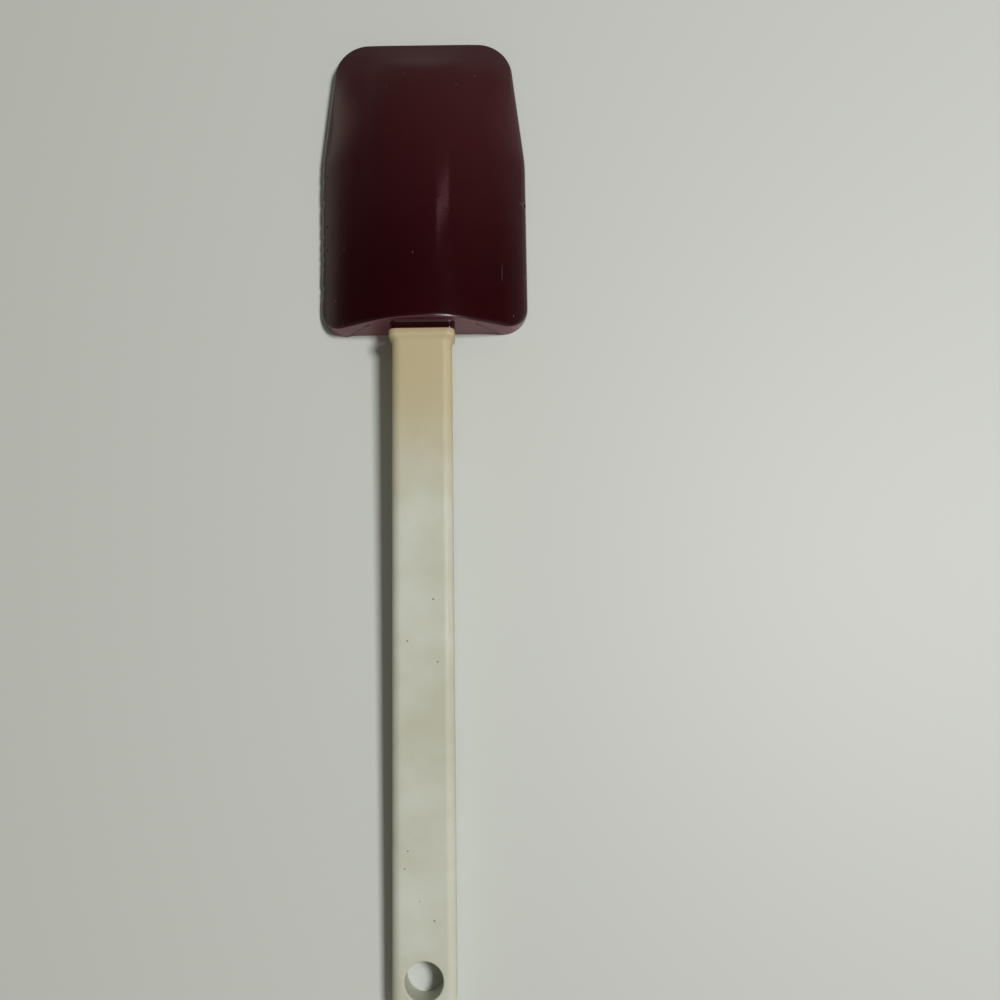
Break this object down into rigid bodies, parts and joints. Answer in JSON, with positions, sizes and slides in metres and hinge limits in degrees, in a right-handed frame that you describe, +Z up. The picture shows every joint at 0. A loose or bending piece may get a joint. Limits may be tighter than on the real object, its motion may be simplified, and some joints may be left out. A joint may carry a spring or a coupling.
{
  "type": "silicone spatula",
  "caption": "Spoon-shaped silicone scraper head with a hollow underside on a flat nylon handle with a hang hole; the head pulls off the handle's ribbed tang.",
  "frame": {"origin": "on the table, below the middle of the whole tool, as it lies with the crowned back of the head upwards", "axes": "+Y along the tool from the tail of the handle to the tip of the head, +Z up from the table, +X across the tool"},
  "size_m": [0.0756, 0.3446, 0.0227],
  "materials": {
    "silicone": "moulded silicone rubber, satin, deep maroon",
    "nylon": "moulded nylon, satin, off-white, stained tan towards the head"
  },
  "bodies": {
    "handle": {"handle": "nylon"},
    "head": {"head": "silicone"}
  },
  "joints": [
    {"name": "head_pull", "type": "slide", "parent": "handle", "child": "head", "axis": [0, 0.9994, 0.0338], "range_m": [0, 0.07]}
  ]
}
